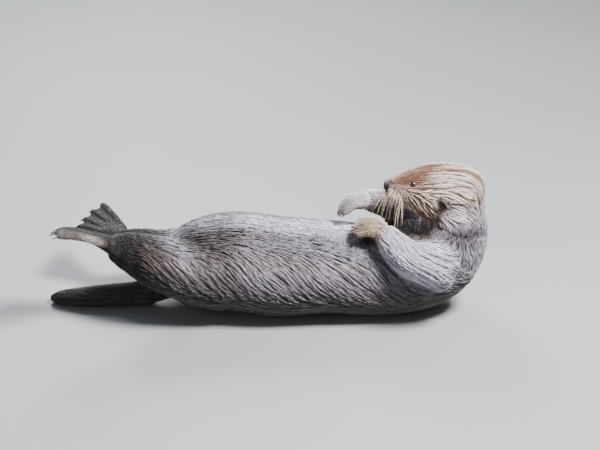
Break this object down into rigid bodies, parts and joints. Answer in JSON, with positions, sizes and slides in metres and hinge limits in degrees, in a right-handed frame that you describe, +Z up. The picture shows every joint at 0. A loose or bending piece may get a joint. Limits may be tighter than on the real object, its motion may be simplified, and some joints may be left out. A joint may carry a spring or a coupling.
{
  "type": "sea otter figure",
  "caption": "Life-size still model of a sea otter lying on its back, head raised and forepaws held over its chest.",
  "frame": {"origin": "centre of the bounding box at floor level, under the back the animal lies on", "axes": "+Z up, +X from the tail towards the head, +Y towards the animal's right side, which is the far side as it lies on its back"},
  "size_m": [0.8886, 0.385, 0.3077],
  "materials": {
    "pelt_brown": "wet fur, satin",
    "pelt_pale": "damp fur, satin",
    "foot_pelt": "short wet fur on skin, satin",
    "claw_horn": "semi-gloss",
    "nose_skin": "moist, pebbled",
    "eye_gloss": "wet gloss"
  },
  "bodies": {
    "root": {"belly": "pelt_brown", "chest": "pelt_brown", "neck": "pelt_brown", "hips": "pelt_brown", "tail": "pelt_brown", "arm_left": "pelt_brown", "arm_right": "pelt_brown", "paw_left": "pelt_brown", "paw_right": "pelt_brown", "leg_left": "pelt_brown", "leg_right": "pelt_brown", "head": "pelt_pale", "ear_left": "pelt_pale", "ear_right": "pelt_pale", "foot_left": "foot_pelt", "foot_right": "foot_pelt", "nose": "nose_skin", "eye_left": "eye_gloss", "claw_fore_left_1": "claw_horn", "claw_fore_left_2": "claw_horn", "claw_fore_left_3": "claw_horn", "claw_fore_left_4": "claw_horn", "claw_fore_left_5": "claw_horn", "claw_hind_left_1": "claw_horn", "claw_hind_left_2": "claw_horn", "claw_hind_left_3": "claw_horn", "claw_hind_left_4": "claw_horn", "claw_hind_left_5": "claw_horn", "eye_right": "eye_gloss", "claw_fore_right_1": "claw_horn", "claw_fore_right_2": "claw_horn", "claw_fore_right_3": "claw_horn", "claw_fore_right_4": "claw_horn", "claw_fore_right_5": "claw_horn", "claw_hind_right_1": "claw_horn", "claw_hind_right_2": "claw_horn", "claw_hind_right_3": "claw_horn", "claw_hind_right_4": "claw_horn", "claw_hind_right_5": "claw_horn"}
  },
  "joints": []
}
